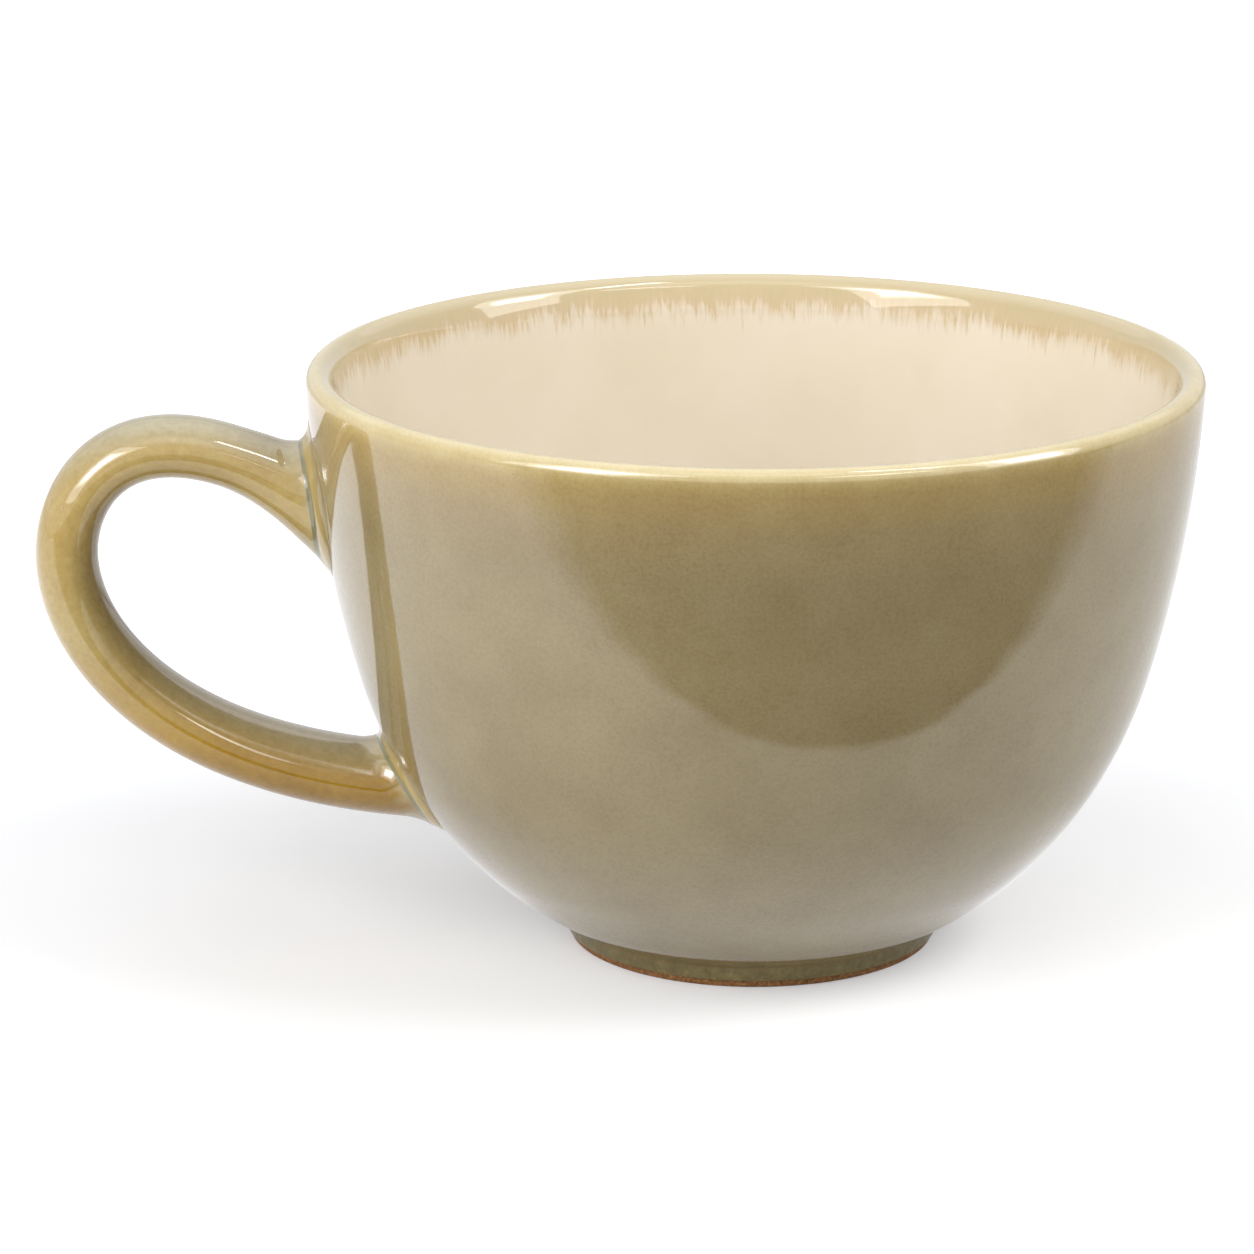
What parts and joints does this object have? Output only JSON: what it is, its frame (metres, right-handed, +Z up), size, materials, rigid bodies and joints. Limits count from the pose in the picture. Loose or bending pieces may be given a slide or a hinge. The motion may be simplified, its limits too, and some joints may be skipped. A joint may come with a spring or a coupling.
{
  "type": "soup mug",
  "caption": "Wide round stoneware soup mug on a low foot ring, with one looped strap handle; glossy olive glaze outside, amber rim and cream inside, for soup or a hot drink.",
  "frame": {"origin": "on the axis of the bowl, in the plane that the foot ring stands on", "axes": "+Z up along the axis of the bowl; the handle stands out toward -X, in the plane Y = 0"},
  "size_m": [0.1695, 0.13, 0.0861],
  "materials": {
    "stoneware": "fired, under the glaze",
    "toasted_stoneware": "bare and dry, toasted by the kiln",
    "glazed_slip": "gloss, pale where the glaze pools",
    "olive_glaze": "gloss, finely mottled",
    "amber_glaze": "gloss, thin over the lip",
    "cream_glaze": "gloss",
    "gold_olive_glaze": "gloss, thinner than on the bowl",
    "dark_olive_glaze": "gloss, pooled"
  },
  "bodies": {
    "root": {"bowl_body": "stoneware", "foot_ring": "toasted_stoneware", "handle": "stoneware", "upper_joint_slip": "glazed_slip", "lower_joint_slip": "glazed_slip", "outer_glaze": "olive_glaze", "rim_glaze": "amber_glaze", "liner_glaze": "cream_glaze", "handle_glaze": "gold_olive_glaze", "foot_glaze": "dark_olive_glaze", "base_glaze": "dark_olive_glaze"}
  },
  "joints": []
}
